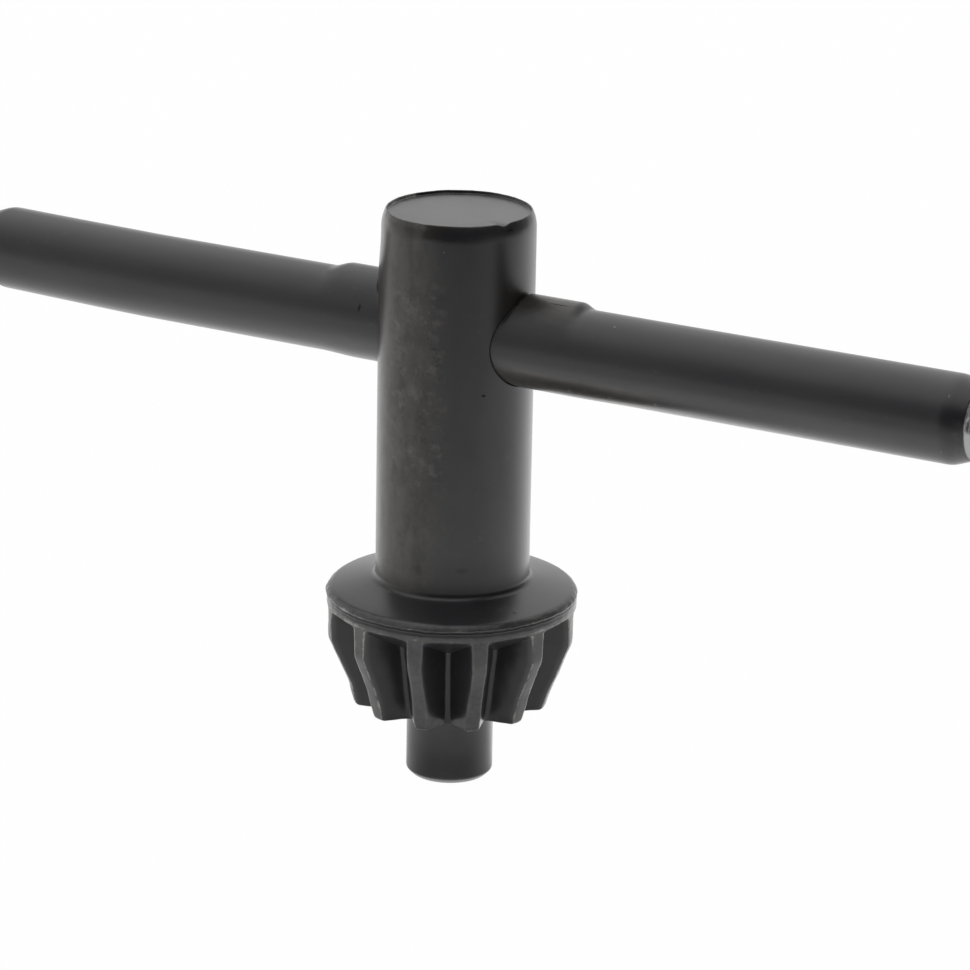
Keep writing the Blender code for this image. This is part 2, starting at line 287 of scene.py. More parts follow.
DIM_CORNER_RISE = (17, 27, 30, 42)  # elevations between which the corner dims and brightens again
NEAR_GLOW = 1.1
NEAR_SHARE = ((8, 0.0), (13, 1.0), (38, 1.0), (58, 0.0))
OWN_SHADOW = ((3.0, 2.2), (3.5, 0.62), (5, 0.5), (8, 0.48), (13, 0.95))
CARD_RISE = 0.03
CARD_RINGS = (1, 3, 3.5, 5, 8, 12, 20, 30, 42, 55, 70, 85, 100, 120, 140, 160, 200, 260, 350,
              500, 900)


# Mesh helpers

def mix(a, b, share):
    """From a at share 0 to b at share 1; takes numbers, vectors or arrays."""
    return a + (b - a) * share


def bent(before, corner, after, setback, steps):
    """Points of the short curve that replaces a corner."""
    towards = (before - corner).normalized() * setback
    away = (after - corner).normalized() * setback
    points = []
    for step in range(steps + 1):
        t = step / steps
        points.append(corner + towards * (1 - t) ** 2 + away * t ** 2)
    return points


def soft_ramp(x, blend):
    """0 below zero and x above it, with a rounded turn of the given half length."""
    if x <= -blend:
        return 0.0
    if x >= blend:
        return x
    return (x + blend) ** 2 / (4 * blend)


def smooth_step(low, high, value):
    """0 below low, 1 above high and a smooth curve between them; takes numbers or arrays."""
    share = np.clip((value - low) / (high - low), 0, 1)
    return share * share * (3 - 2 * share)


def near(value, low, high, fade):
    """1 between two values, fading to 0 over the given length beyond them."""
    return smooth_step(low - fade, low, value) * (1 - smooth_step(high, high + fade, value))


def along_curve(pairs, value):
    """Value of a curve through a few given points."""
    places, levels = zip(*pairs)
    return np.interp(value, places, levels)


def wander(points, scale, seed=0.0):
    """Smooth noise vectors, about -1 to 1, at points given in millimetres."""
    offset = Vector((17.3, 5.1, 9.7)) * seed
    return np.array([noise.noise_vector(Vector(p) * scale + offset) for p in points])


def grid_faces(rows, columns):
    """Quads between closed rings that follow each other."""
    faces = []
    for row in range(rows - 1):
        low = row * columns
        high = low + columns
        for column in range(columns):
            after = (column + 1) % columns
            faces.append((low + column, low + after, high + after, high + column))
    return faces


def ring_object(name, rings, attributes):
    """Closed mesh from rings of points in millimetres, with a point at each end."""
    columns = len(rings[0])
    points = np.concatenate(rings)
    last = len(points)
    ends = np.array([rings[0].mean(axis=0), rings[-1].mean(axis=0)])
    faces = grid_faces(len(rings), columns)
    top = last - columns
    for column in range(columns):
        after = (column + 1) % columns
        faces.append((last, after, column))
        faces.append((last + 1, top + column, top + after))
    mesh = bpy.data.meshes.new(name)
    mesh.from_pydata(np.concatenate([points, ends]) * MM, [], faces)
    for key, values in attributes.items():
        attribute = mesh.attributes.new(key, 'FLOAT', 'POINT')
        padded = np.concatenate([values, values[:1], values[-1:]])
        attribute.data.foreach_set("value", padded.astype(np.float32))
    mesh.shade_smooth()
    obj = bpy.data.objects.new(name, mesh)
    bpy.context.collection.objects.link(obj)
    return obj


# Gear

def root_radius_at(rise):
    """Radius of the bottom of the gaps."""
    return mix(ROOT_TOE_RADIUS, ROOT_HEEL_RADIUS, rise / ROOT_RISE)


def face_radius_at(rise):
    """Radius of the teeth's outer face, with softened kinks at the belly and the cone's end."""
    toe_slope = (BELLY_RADIUS - TOE_RADIUS) / BELLY_RISE
    cone_slope = (HEEL_RADIUS - BELLY_RADIUS) / (CONE_RISE - BELLY_RISE)
    radius = TOE_RADIUS + toe_slope * rise
    radius += (cone_slope - toe_slope) * soft_ramp(rise - BELLY_RISE, KINK_BLEND)
    return radius - cone_slope * soft_ramp(rise - CONE_RISE, KINK_BLEND)


def half_gap(root_rise, land_rise, land_radius, land_width, inset=0.0):
    """Points from the middle of a gap to the middle of a tooth's land; the gap lies along X.

    The two ends may lie at different heights, and an inset shrinks the tooth all round.
    """
    root_radius = root_radius_at(root_rise) - inset
    land_angle = HALF_PITCH - math.asin((land_width / 2 - inset) / land_radius)
    middle = Vector((root_radius, 0, TOE_Z + root_rise))
    root = Vector((root_radius, ROOT_WIDTH / 2 + inset / 2, TOE_Z + root_rise))
    land_z = TOE_Z + land_rise

    def on_face(angle):
        return Vector((land_radius * math.cos(angle), land_radius * math.sin(angle), land_z))

    land = on_face(land_angle)
    crest = on_face(HALF_PITCH)
    points = [middle]
    points += bent(middle, root, land, ROOT_BLEND, 3)
    shoulder = bent(root, land, crest, LAND_BLEND, 4)
    foot = points[-1]
    flank_steps = 7
    for step in range(1, flank_steps):
        points.append(foot.lerp(shoulder[0], step / flank_steps))
    points += shoulder
    edge_angle = math.atan2(shoulder[-1].y, shoulder[-1].x)
    land_steps = 4
    for step in range(1, land_steps + 1):
        points.append(on_face(mix(edge_angle, HALF_PITCH, step / land_steps)))
    return np.array(points)


def turned(points, angle):
    """Points turned round the body's axis."""
    turn = np.array(Matrix.Rotation(angle, 3, 'Z'))
    return points @ turn.T


def full_ring(half):
    """The whole ring of twelve gaps and teeth from half of one."""
    mirrored = turned(half * (1, -1, 1), 2 * HALF_PITCH)[::-1]
    period = np.concatenate([half, mirrored[1:-1]])
    ring = [turned(period, TOOTH_PHASE + 2 * HALF_PITCH * index) for index in range(TOOTH_COUNT)]
    return np.concatenate(ring)


def toe_rings():
    """Rounded edge between the toe face and the teeth."""
    setback = TOE_ROUNDING * math.tan(math.pi / 4 - FACE_LEAN / 2)
    steps = 5
    rings = []
    for step in range(steps + 1):
        turn = (math.pi / 2 - FACE_LEAN) * step / steps
        edge = math.pi / 2 * step / steps
        land_radius = TOE_RADIUS - setback + TOE_ROUNDING * math.sin(turn)
        land_rise = TOE_ROUNDING * (1 - math.cos(turn))
        root_rise = FLANK_EDGE * (1 - math.cos(edge))
        inset = FLANK_EDGE * (1 - math.sin(edge))
        rings.append(half_gap(root_rise, land_rise, land_radius, LAND_WIDTHS[0], inset))
    return rings


def tooth_rings():
    """Rings up the teeth, from the toe's rounding to the end of the gaps."""
    rings = []
    knee_root = 0.25
    knee_steps = 5
    toe_land = TOE_ROUNDING * (1 - math.sin(FACE_LEAN))
    for step in range(1, knee_steps + 1):
        share = step / knee_steps
        rise = mix(toe_land, KNEE_RISE, share)
        width = float(np.interp(rise, LAND_RISES, LAND_WIDTHS))
        root = mix(FLANK_EDGE, knee_root, share)
        rings.append(half_gap(root, rise, face_radius_at(rise), width))
    land_end = HEEL_RISE - 0.1
    steps = 34
    for step in range(1, steps + 1):
        share = step / steps
        rise = mix(KNEE_RISE, land_end, share)
        width = float(np.interp(rise, LAND_RISES, LAND_WIDTHS))
        root = float(np.interp(rise, (KNEE_RISE, 2.6, CONE_RISE, land_end),
                               (knee_root, 2.4, CONE_RISE, ROOT_RISE)))
        rings.append(half_gap(root, rise, face_radius_at(rise), width))
    return rings


def run_out_rings(last_half):
    """Oblique facets that close the gaps at their upper ends."""
    angles = np.arctan2(last_half[:, 1], last_half[:, 0])
    land_angle = HALF_PITCH - math.asin(LAND_WIDTHS[-1] / 2 / HEEL_RADIUS)
    slope = (HEEL_RISE - ROOT_RISE) / (HEEL_RADIUS * math.cos(land_angle) - ROOT_HEEL_RADIUS)
    facet_x = np.maximum(HEEL_RADIUS * np.cos(angles), HEEL_RADIUS * math.cos(land_angle))
    end_z = TOE_Z + ROOT_RISE + slope * (facet_x - ROOT_HEEL_RADIUS)
    end = np.stack([HEEL_RADIUS * np.cos(angles), HEEL_RADIUS * np.sin(angles), end_z], axis=1)
    rings = []
    for share in (0.04, 0.15, 0.3, 0.45, 0.6, 0.75, 0.88, 0.96, 1.0):
        rings.append(mix(last_half, end, share))
    return rings


# Body

def rounded_profile(corners, steps=3):
    """Half section (radius, height) with each corner bent by its own setback."""
    points = [Vector((r, z)) for r, z, setback in corners]
    section = [points[0]]
    for index in range(1, len(points) - 1):
        setback = corners[index][2]
        if setback:
            section += bent(points[index - 1], points[index], points[index + 1], setback, steps)
        else:
            section.append(points[index])
    section.append(points[-1])
    return section


def arc(centre, radius, end, steps):
    """Points of a circle from its outermost point up to the given angle in radians."""
    points = []
    for step in range(steps + 1):
        angle = end * step / steps
        points.append(centre + radius * Vector((math.cos(angle), math.sin(angle))))
    return points


def upper_section():
    """Collar, barrel and dished head, from just above the gaps to the axis."""
    side_radius = COLLAR_RADIUS - COLLAR_BURR
    ridge_z = mix(STEP_Z, EDGE_Z, 0.45)
    ridge_half = 0.06
    section = rounded_profile([
        (HEEL_RADIUS, HEEL_Z + 0.16, 0),
        (HEEL_RADIUS, COLLAR_Z, 0.05),
        (side_radius, STEP_Z, 0.04),
        (side_radius, ridge_z - ridge_half, 0.03),
        (side_radius + COLLAR_BURR / 2, ridge_z, 0.03),
        (side_radius, ridge_z + ridge_half, 0.03),
        (side_radius, EDGE_Z - ridge_half, 0.02),
        (COLLAR_RADIUS, EDGE_Z, 0.05),
        (SHOULDER_RADIUS, SHOULDER_Z, SHOULDER_ROLL),
        (SHOULDER_RADIUS - 1.0, SHOULDER_Z + SHOULDER_SLOPE, 0),
        (SHOULDER_RADIUS - 2.0, SHOULDER_Z + 2 * SHOULDER_SLOPE, 0),
        (BARREL_RADIUS, BARREL_FOOT_Z, BARREL_FILLET),
        (BARREL_RADIUS, BARREL_FOOT_Z + 1.2, 0),
    ], steps=5)
    rim_centre = Vector((BARREL_RADIUS - RIM_CURVE, TOP_Z - RIM_CURVE * math.sin(RIM_TURN)))
    barrel_steps = 48
    for step in range(1, barrel_steps):
        z = mix(section[-1].y, rim_centre.y, 1 / (barrel_steps - step + 1))
        section.append(Vector((BARREL_RADIUS, z)))
    section += arc(rim_centre, RIM_CURVE, RIM_TURN, 12)
    rim = section.pop()
    foot = rim - Vector((DISH_WALL_WIDTH, DISH_WALL_HEIGHT))
    rim += RIM_CORNER
    lip_room = 1.2 * RIM_LIP
    while (rim - section[-1]).length < lip_room:
        section.pop()
    section += bent(section[-1], rim, foot, RIM_LIP, 9)
    wall_blend = 0.95 * (foot - section[-1]).length
    section += bent(section[-1], foot, Vector((0, foot.y)), wall_blend, 8)
    for share in (0.85, 0.6, 0.35, 0.15, 0.05):
        section.append(Vector((foot.x * share, foot.y)))
    return section


def body_rings():
    """Rings of points up the whole body, all with as many points as the gear's."""
    toe = toe_rings()
    teeth = tooth_rings()
    run_out = run_out_rings(teeth[-1])
    gear_angles = np.unwrap(np.arctan2(*full_ring(run_out[-1])[:, (1, 0)].T))
    columns = len(gear_angles)
    even_angles = gear_angles[0] + 2 * math.pi * np.arange(columns) / columns

    def circle(radius, z, evenness=0.0):
        angles = mix(gear_angles, even_angles, evenness)
        return np.stack([radius * np.cos(angles), radius * np.sin(angles),
                         np.full(columns, z)], axis=1)

    pilot = rounded_profile([
        (0.4, 0, 0),
        (PILOT_RADIUS - PILOT_CHAMFER, 0, 0.08),
        (PILOT_RADIUS, PILOT_CHAMFER, 0.12),
        (PILOT_RADIUS, PILOT_LENGTH / 2, 0),
        (PILOT_RADIUS, TOE_Z, 0.15),
        (PILOT_RADIUS + 0.4, TOE_Z, 0),
    ])
    rings = [circle(point.x, point.y) for point in pilot]
    toe_outline = full_ring(toe[0])
    for share in (0.3, 0.6, 0.85, 0.97):
        rings.append(mix(rings[len(pilot) - 1], toe_outline, share))
    rings += [full_ring(half) for half in toe + teeth + run_out]
    section = upper_section()
    for index, point in enumerate(section):
        rings.append(circle(point.x, point.y, min(1.0, index / 20)))
    return rings


class Surface:
    """The body's points in millimetres, and where each of them is."""

    def __init__(self, points):
        self.points = points
        self.z = points[:, 2]
        self.radius = np.hypot(points[:, 0], points[:, 1])
        self.turn = np.array([studio_azimuth(point) for point in points])
        face = np.array([face_radius_at(rise) for rise in self.z - TOE_Z])
        self.below_face = face - self.radius

    def from_place(self, place, size):
        """1 at a place, falling off all round it."""
        distance = np.linalg.norm((self.points - place) / size, axis=1)
        return np.exp(-distance ** 2)


def weathered(at):
    """Make the gear's, collar's and rim's edges wander a little and put a chip in the rim."""
    z, turn = at.z, at.turn
    on_gear = near(z, TOE_Z, SHOULDER_Z - 0.12, 0.2)
    on_rim = near(z, TOP_Z - 0.3, TOP_Z, 0.8) * smooth_step(
        RIM_INNER_RADIUS - 0.4, RIM_INNER_RADIUS, at.radius)
    shift = wander(at.points, 0.5) + 0.8 * wander(at.points, 1.9, 1.0)
    moved = at.points + shift * (0.5 * RAGGEDNESS * (on_gear + 0.8 * on_rim))[:, None]
    on_collar = near(z, COLLAR_Z - 0.1, SHOULDER_Z - 0.15, 0.1)
    waves = wander(at.points, 0.9, 6.0)[:, 2] + wander(at.points, 2.6, 7.0)[:, 2]
    moved[:, 2] += RAGGEDNESS * on_collar * waves
    moved[:, 2] = np.minimum(moved[:, 2] - 0.4 * RAGGEDNESS * on_rim, TOP_Z)

    def bump(rise, half_height):
        return np.exp(-((z - TOE_Z - rise) / half_height) ** 2)

    outwards = -LEFT_RIM_WEAR * smooth_step(TOP_Z - 5, TOP_Z - 1.5, z) * near(turn, -130, -88, 40)
    outwards += LEFT_BURR * near(z, EDGE_Z, SHOULDER_Z - 0.1, 0.1) * near(turn, -90, -80, 10)
    outwards += RIGHT_TOOTH_BULGE * bump(2.55, 0.95) * near(turn, 70, 100, 12)
    outwards -= LEFT_TOOTH_DIP * bump(1.65, 0.5) * near(turn, -100, -70, 12)
    outwards *= smooth_step(RIM_INNER_RADIUS - 0.4, RIM_INNER_RADIUS, at.radius)
    moved[:, :2] += at.points[:, :2] * (outwards / np.maximum(at.radius, 1.0))[:, None]
    moved[:, 2] -= RIM_CHIP_DEPTH * at.from_place(RIM_CHIP_PLACE, RIM_CHIP_SIZE)
    return moved


def body_wear_and_glint(at):
    """Share of bright wear, with painted highlights added at the sides and on the rim's left back:
    lands of the teeth, ring above the gaps, collar edges and rim.
    """
    z, radius, turn = at.z, at.radius, at.turn
    # Painted highlight: wear rises towards the sides as the camera sees them, where worn edges
    # catch the bright tent
    side_glint = smooth_step(22, 55, np.abs(turn)) * (1 - 0.75 * smooth_step(68, 82, np.abs(turn)))
    on_teeth = near(z, TOE_Z + 0.1, HEEL_Z, 0.05)
    land = (0.45 + 0.25 * side_glint) * on_teeth * (1 - smooth_step(0.0, 0.06, at.below_face))
    edge = (0.8 + 0.6 * side_glint) * on_teeth * near(at.below_face, 0.015, 0.06, 0.03)
    toe = 1.1 * near(z, TOE_Z - 0.01, TOE_Z + 0.05, 0.06) * smooth_step(5.9, 6.3, radius)
    collar = (0.92 + 0.3 * side_glint) * along_curve(COLLAR_WEAR, z) * smooth_step(
        SHOULDER_RADIUS - 0.3, SHOULDER_RADIUS, radius)
    rim = 0.7 * near(z, TOP_Z - 0.06, TOP_Z, 0.06) * smooth_step(
        RIM_INNER_RADIUS, RIM_INNER_RADIUS + 0.13, radius)
    lip = 0.5 * near(z, TOP_Z - 0.35, TOP_Z - 0.05, 0.12) * near(turn, -75, -28, 8)
    # Painted highlight along the rim's edge at the left back
    lip += 1.2 * near(z, TOP_Z - 0.27, TOP_Z, 0.03) * near(turn, -140, -105, 12)
    lip *= radius > RIM_INNER_RADIUS
    return np.maximum.reduce([land, edge, toe, collar, rim, lip])


def body_painted_shade(at):
    """Share of painted shade, which dims the reflections in the gaps, the grooves of the collar's
    side, the barrel's foot, the back of the dish's wall, a band below the rim and a spot by the
    bar."""
    z, radius, turn = at.z, at.radius, at.turn
    gaps = GAP_SHADE * near(z, TOE_Z + 0.05, HEEL_Z, 0.05) * smooth_step(0.12, 0.4, at.below_face)
    grooves = along_curve(GROOVE_SHADE, z) * smooth_step(HEEL_RADIUS - 0.3, HEEL_RADIUS, radius)
    foot = along_curve(FOOT_SHADE, z - BARREL_FOOT_Z) * (z > BARREL_FOOT_Z + FOOT_SHADE[0][0])
    foot *= near(radius, BARREL_RADIUS, BARREL_RADIUS, 0.6)
    foot *= 1 - 0.7 * smooth_step(45, 70, np.abs(turn))
    on_head = smooth_step(RIM_INNER_RADIUS - 0.1, RIM_INNER_RADIUS, radius)
    wall = WALL_SHADE * near(z, TOP_Z - DISH_WALL_HEIGHT + 0.04, TOP_Z, 0.02)
    wall *= on_head * smooth_step(140, 165, np.abs(turn))
    frayed = wander(at.points, 2.2, 8.0)
    band = near(z + 0.07 * frayed[:, 0], TOP_Z - 0.92, TOP_Z - 0.12, 0.12)
    band *= on_head * (1 - smooth_step(-5, 22, turn))
    band *= smooth_step(-27.5, -23.0, turn + 1.6 * frayed[:, 1])
    spot = SPOT_SHADE * at.from_place(SPOT_PLACE, SPOT_SIZE)
    return np.maximum.reduce([gaps, grooves, foot, wall, band, spot])


def body_patina(at):
    """Share of brownish patina: the barrel's left, and a stain by the bar."""
    turn = at.turn + 9 * wander(at.points, 0.4, 5.0)[:, 0]
    barrel = near(at.z, SHOULDER_Z + 1.5, TOP_Z - 0.1, 1.0)
    round_left = smooth_step(-95, -70, turn) * (1 - smooth_step(-40, 0, turn))
    outside = smooth_step(BARREL_RADIUS - 0.5, BARREL_RADIUS - 0.2, at.radius)
    stain = STAIN_PATINA * at.from_place(STAIN_PLACE, STAIN_SIZE)
    return np.maximum(barrel * round_left * outside, stain)


def body_scuffs(at):
    """Share of fine scuffs on the barrel's front left."""
    return near(at.z, 23, 35, 2.5) * near(at.turn, -50, -12, 10)


def make_body():
    """The turned and toothed body with its wear, and the bar's hole cut through it."""
    rings = body_rings()
    at = Surface(np.concatenate(rings))
    body = ring_object("key_body_finish", weathered(at).reshape(len(rings), -1, 3), {
        "wear_and_glint": body_wear_and_glint(at),
        "patina_and_painted_light": body_patina(at),
        "scuffs": body_scuffs(at),
        "painted_shade": body_painted_shade(at),
    })
    cutter_mesh = cylinder_mesh("bar_hole_cutter", BAR_RADIUS + HOLE_CLEARANCE, BARREL_RADIUS + 1)
    cutter = bpy.data.objects.new("bar_hole_cutter", cutter_mesh)
    bpy.context.collection.objects.link(cutter)
    hole = body.modifiers.new("bar_hole", 'BOOLEAN')
    hole.operation = 'DIFFERENCE'
    hole.solver = 'EXACT'
    hole.object = cutter
    evaluated = body.evaluated_get(bpy.context.evaluated_depsgraph_get())
    cut_mesh = bpy.data.meshes.new_from_object(evaluated)
    body.modifiers.clear()
    body.data = cut_mesh
    bpy.data.objects.remove(cutter)
    body.data.shade_smooth()
    body.data.set_sharp_from_angle(angle=math.radians(40))
    return body


def cylinder_mesh(name, radius, half_length, columns=160):
    """Plain closed cylinder round the hole's axis."""
    rings = []
    for x in (-half_length, half_length):
        angles = 2 * math.pi * np.arange(columns) / columns
        rings.append(np.stack([np.full(columns, x), radius * np.sin(angles),
                               HOLE_Z + radius * np.cos(angles)], axis=1))
    faces = grid_faces(2, columns)
    faces.append(tuple(range(columns)))
    faces.append(tuple(reversed(range(columns, 2 * columns))))
    mesh = bpy.data.meshes.new(name)
    mesh.from_pydata(np.concatenate(rings) * MM, [], [tuple(reversed(face)) for face in faces])
    return mesh


# Cross bar

def swell(x, angle):
    """How far the staking has raised the bar's surface; angle 0 is the top."""
    off_top = min(1.0, abs(angle) / SWELL_SPREAD)
    off_bottom = min(1.0, (math.pi - abs(angle)) / SWELL_SPREAD)
    top = 0.5 + 0.5 * math.cos(math.pi * off_top)
    bottom = 0.5 + 0.5 * math.cos(math.pi * off_bottom)
    from_barrel = math.hypot(x, BAR_RADIUS * math.sin(angle)) - BARREL_RADIUS
    foot = mix(SWELL_IN_HOLE * (from_barrel > -0.3), 1.0, smooth_step(0.0, 0.3, from_barrel))
    if x > 0:
        slack = SWELL_SLACK * max(0.0, off_top - 0.35)
        upper, lower = RIGHT_SWELL, RIGHT_LOWER_SWELL
    else:
        slack = 0.0
        upper, lower = LEFT_SWELL, LEFT_LOWER_SWELL
    raised = upper[0] * top * (1 - smooth_step(upper[1] - slack, upper[2] + slack, abs(x)))
    raised += lower[0] * bottom * (1 - smooth_step(lower[1], lower[2], abs(x)))
    return foot * raised


def bow(x):
    """How far the slightly bent bar lies above its nominal axis."""
    return along_curve(BAR_BOW, x)


def bar_stations():
    """Distances along the bar and radii, from the left end face's middle to the right one's."""
    end = BAR_HIGH.x
    fine_start, fine_end = SWELL_ZONE
    side = list(np.arange(0.0, fine_start, 0.6)) + list(np.arange(fine_start, fine_end, 0.1))
    side += list(np.arange(fine_end, end - BAR_CHAMFER - BAR_CORNER_BLEND, 0.5))
    stations = [(x, BAR_RADIUS) for x in side]
    corner = Vector((end - BAR_CHAMFER, BAR_RADIUS))
    lip = Vector((end, BAR_RADIUS - BAR_CHAMFER_INSET))
    towards_end = bent(Vector((0, BAR_RADIUS)), corner, lip, BAR_CORNER_BLEND, 8)
    stations += [tuple(point) for point in towards_end]
    stations += [tuple(point) for point in bent(corner, lip, Vector((end, 0)), BAR_LIP_BLEND, 5)]
    face_rings = 26
    for step in range(1, face_rings):
        stations.append((end, (lip.y - BAR_LIP_BLEND) * (1 - step / face_rings)))
    return [(-x, r) for x, r in reversed(stations[1:])] + stations


def sheared_face(points):
    """How deep an end face is torn above its smooth sheared part, and the share that is torn."""
    waves = 0.25 * wander(points, 0.9, 2.0)[:, 0]
    torn = smooth_step(-0.35, 0.0, points[:, 2] - BAR_Z - SHEAR_LINE + waves)
    tears = wander(points * (1, 1, 0.6), 3.2, 3.0)[:, 1] + 0.5 * wander(points, 7.0, 4.0)[:, 2]
    return torn * (TEAR_DEPTH + TEAR_ROUGHNESS * tears), torn


def make_bar(columns=128):
    """The bar with its swells, its small bend and its sheared ends."""
    angles = 2 * math.pi * np.arange(columns) / columns - math.pi
    rings = []
    for x, radius in bar_stations():
        full = min(1.0, radius / BAR_RADIUS)
        raised = np.array([swell(x, angle) for angle in angles]) * full
        r = radius + raised - LEFT_END_TAPER * smooth_step(25, 38, -x)
        rings.append(np.stack([np.full(columns, x), r * np.sin(angles),
                               BAR_Z + bow(x) + r * np.cos(angles)], axis=1))
    points = np.concatenate([ring[::-1] for ring in rings])
    radius = np.hypot(points[:, 1], points[:, 2] - BAR_Z)
    lip_radius = BAR_RADIUS - BAR_CHAMFER_INSET
    bare = (1 - smooth_step(lip_radius - 0.14, lip_radius - 0.02, radius)) * (
        np.abs(points[:, 0]) > BAR_HIGH.x - 0.2)
    depth, torn = sheared_face(points)
    points[:, 0] -= np.sign(points[:, 0]) * bare * depth
    turn = np.degrees(np.arctan2(points[:, 1], points[:, 2] - BAR_Z))
    along = np.abs(points[:, 0])
    on_top = 0.8 * (1 - smooth_step(20, 60, np.abs(turn))) * (1 - smooth_step(8.5, 12, along))
    # Brownish band on the underside, lightened partly as painted light from the bright floor below
    lit_brown_underside = near(-turn, 114, 150, 8) * (1 - smooth_step(12, 20, along))
    stained_side = np.where(points[:, 0] > 0, 1.0, LEFT_BAR_PATINA)
    edge = near(along, BAR_HIGH.x - 0.1, BAR_HIGH.x, 0.08) * (1 - bare)
    return ring_object("cross_bar_finish", points.reshape(len(rings), -1, 3), {
        "bare": bare,
        "torn": torn * bare,
        "patina_and_painted_light": np.maximum(on_top, lit_brown_underside) * stained_side,
        "wear_and_glint": 0.4 * edge,
    })


# Materials

def add(tree, kind, inputs=None, **settings):
    """Add a shader node; an input takes a value or another node's output socket."""
    made = tree.nodes.new(kind)
    for key, value in settings.items():
        setattr(made, key, value)
    for key, value in (inputs or {}).items():
        if isinstance(value, bpy.types.NodeSocket):
            tree.links.new(value, made.inputs[key])
        else:
            made.inputs[key].default_value = value
    return made


def new_material(name):
    """An empty node material and its tree."""
    material = bpy.data.materials.new(name)
    material.use_nodes = True
    material.node_tree.nodes.clear()
    return material, material.node_tree


def noise_at(tree, place, scale, detail=3.0, roughness=0.55):
    """Fractal noise of about 0 to 1; a scale of 1000 has features near a millimetre."""
    return add(tree, 'ShaderNodeTexNoise', {'Vector': place, 'Scale': scale, 'Detail': detail,
                                            'Roughness': roughness}).outputs['Fac']


def remap(tree, value, low, high, to_low, to_high):
    """A value's range moved to another range, and kept within it."""
    node = add(tree, 'ShaderNodeMapRange', {'Value': value, 'From Min': low, 'From Max': high,
                                            'To Min': to_low, 'To Max': to_high})
    return node.outputs['Result']


def blend(tree, share, low, high):
    """Mix two colours, or a colour node's output with a colour, by a share."""
    def as_input(value):
        return value if isinstance(value, bpy.types.NodeSocket) else (*value, 1)

    inputs = {0: share, 6: as_input(low), 7: as_input(high)}
    return add(tree, 'ShaderNodeMix', inputs, data_type='RGBA').outputs[2]


def math_of(tree, operation, *values):
    """Result of a math node; each value is a number or a socket."""
    inputs = dict(enumerate(values))
    return add(tree, 'ShaderNodeMath', inputs, operation=operation).outputs[0]


def vector_math(tree, operation, *values):
    """Outputs of a vector math node; each value is a vector or a socket."""
    inputs = dict(enumerate(values))
    return add(tree, 'ShaderNodeVectorMath', inputs, operation=operation).outputs


def attribute(tree, key):
    """A surface's own share of wear, grime and the like, as the mesh has it."""
    return add(tree, 'ShaderNodeAttribute', attribute_name=key).outputs['Fac']


def stretched(tree, place, scale):
    """The place with each axis scaled, to draw a pattern out along one of them."""
    return vector_math(tree, 'MULTIPLY', place, scale)['Vector']


def mark_share(tree, place, marks_and_shade, sign):
    """Strength of the light (sign 1) or the dark marks and painted shade (sign -1), with soft
    edges.
    """
    total = 0.0
    for centre, half_sizes, strength in marks_and_shade:
        if strength * sign < 0:
            continue
        scale = tuple(1 / (size * MM) for size in half_sizes)
        offset = vector_math(tree, 'SUBTRACT', place, tuple(centre * MM))['Vector']
        distance = vector_math(tree, 'LENGTH', stretched(tree, offset, scale))['Value']
        share = remap(tree, distance, 0.5, 1.15, abs(strength), 0)
        total = math_of(tree, 'MAXIMUM', total, share)
    return total


